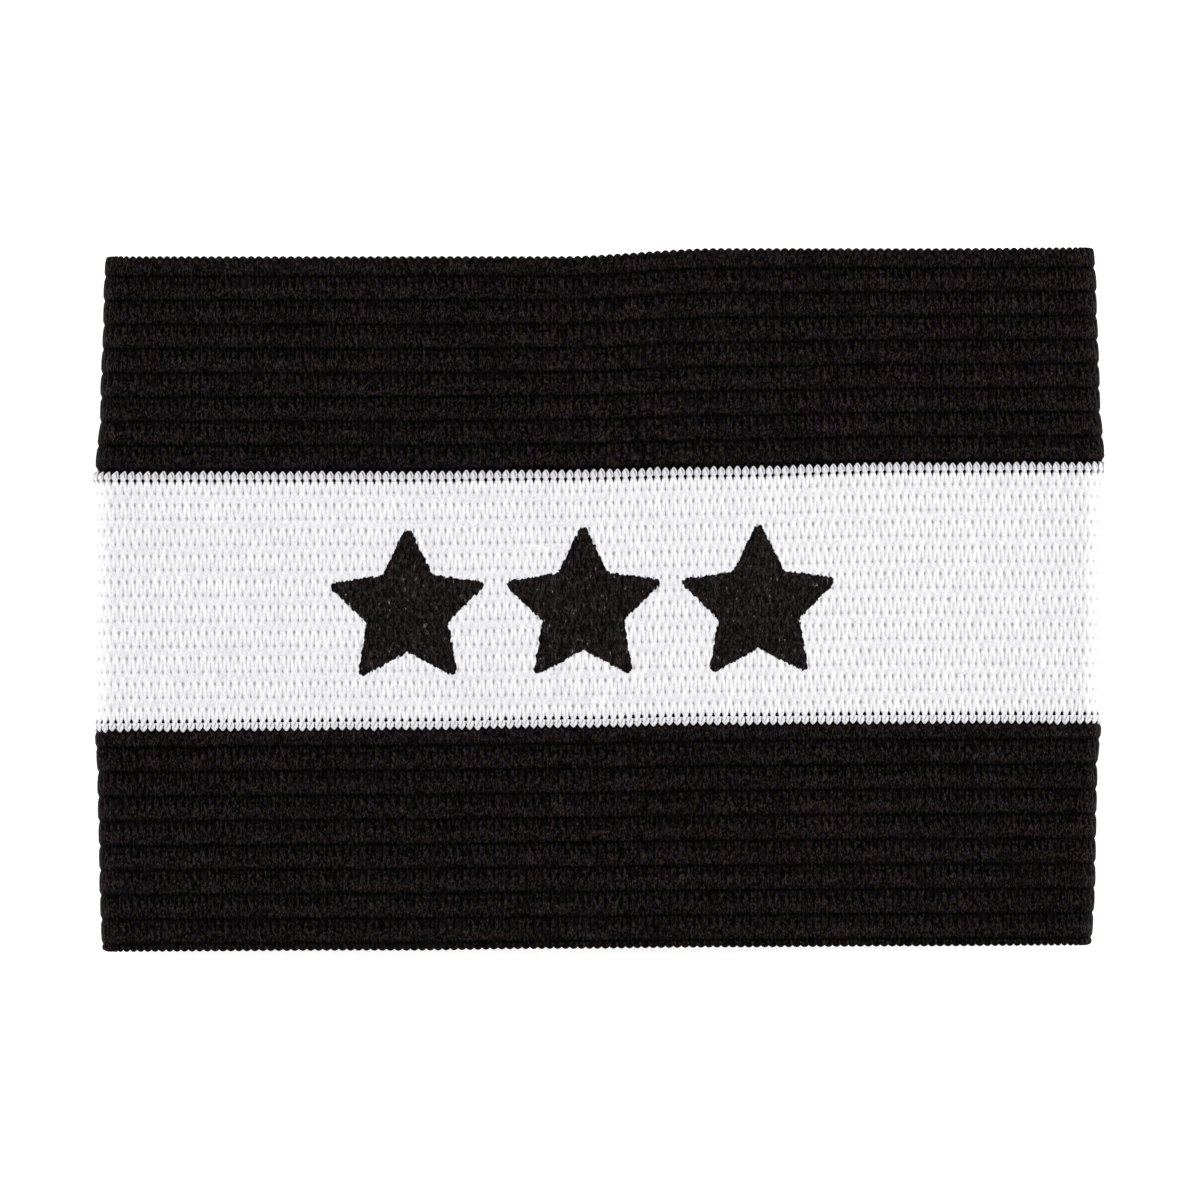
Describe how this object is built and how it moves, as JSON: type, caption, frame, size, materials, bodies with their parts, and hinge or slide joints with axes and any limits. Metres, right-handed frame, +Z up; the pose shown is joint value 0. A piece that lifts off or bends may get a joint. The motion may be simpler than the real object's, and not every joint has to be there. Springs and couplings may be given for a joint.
{
  "type": "captain armband",
  "caption": "Wide ribbed elastic armband loop, black with a white centre band, lying flattened with its arm opening running across it.",
  "frame": {"origin": "centre of the surface that the flattened loop lies on", "axes": "+X along the flattened loop from its left fold to its right fold, +Y across the web towards the upper selvedge, +Z up, out of the printed side"},
  "size_m": [0.1294, 0.0896, 0.0084],
  "materials": {
    "black_yarn": "matte ribbed crochet knit with a faint fibre sheen",
    "white_yarn": "matte ribbed crochet knit with a black ink print on its upper side"
  },
  "bodies": {
    "root": {"upper_black_band": "black_yarn", "white_centre_band": "white_yarn", "lower_black_band": "black_yarn"}
  },
  "joints": []
}
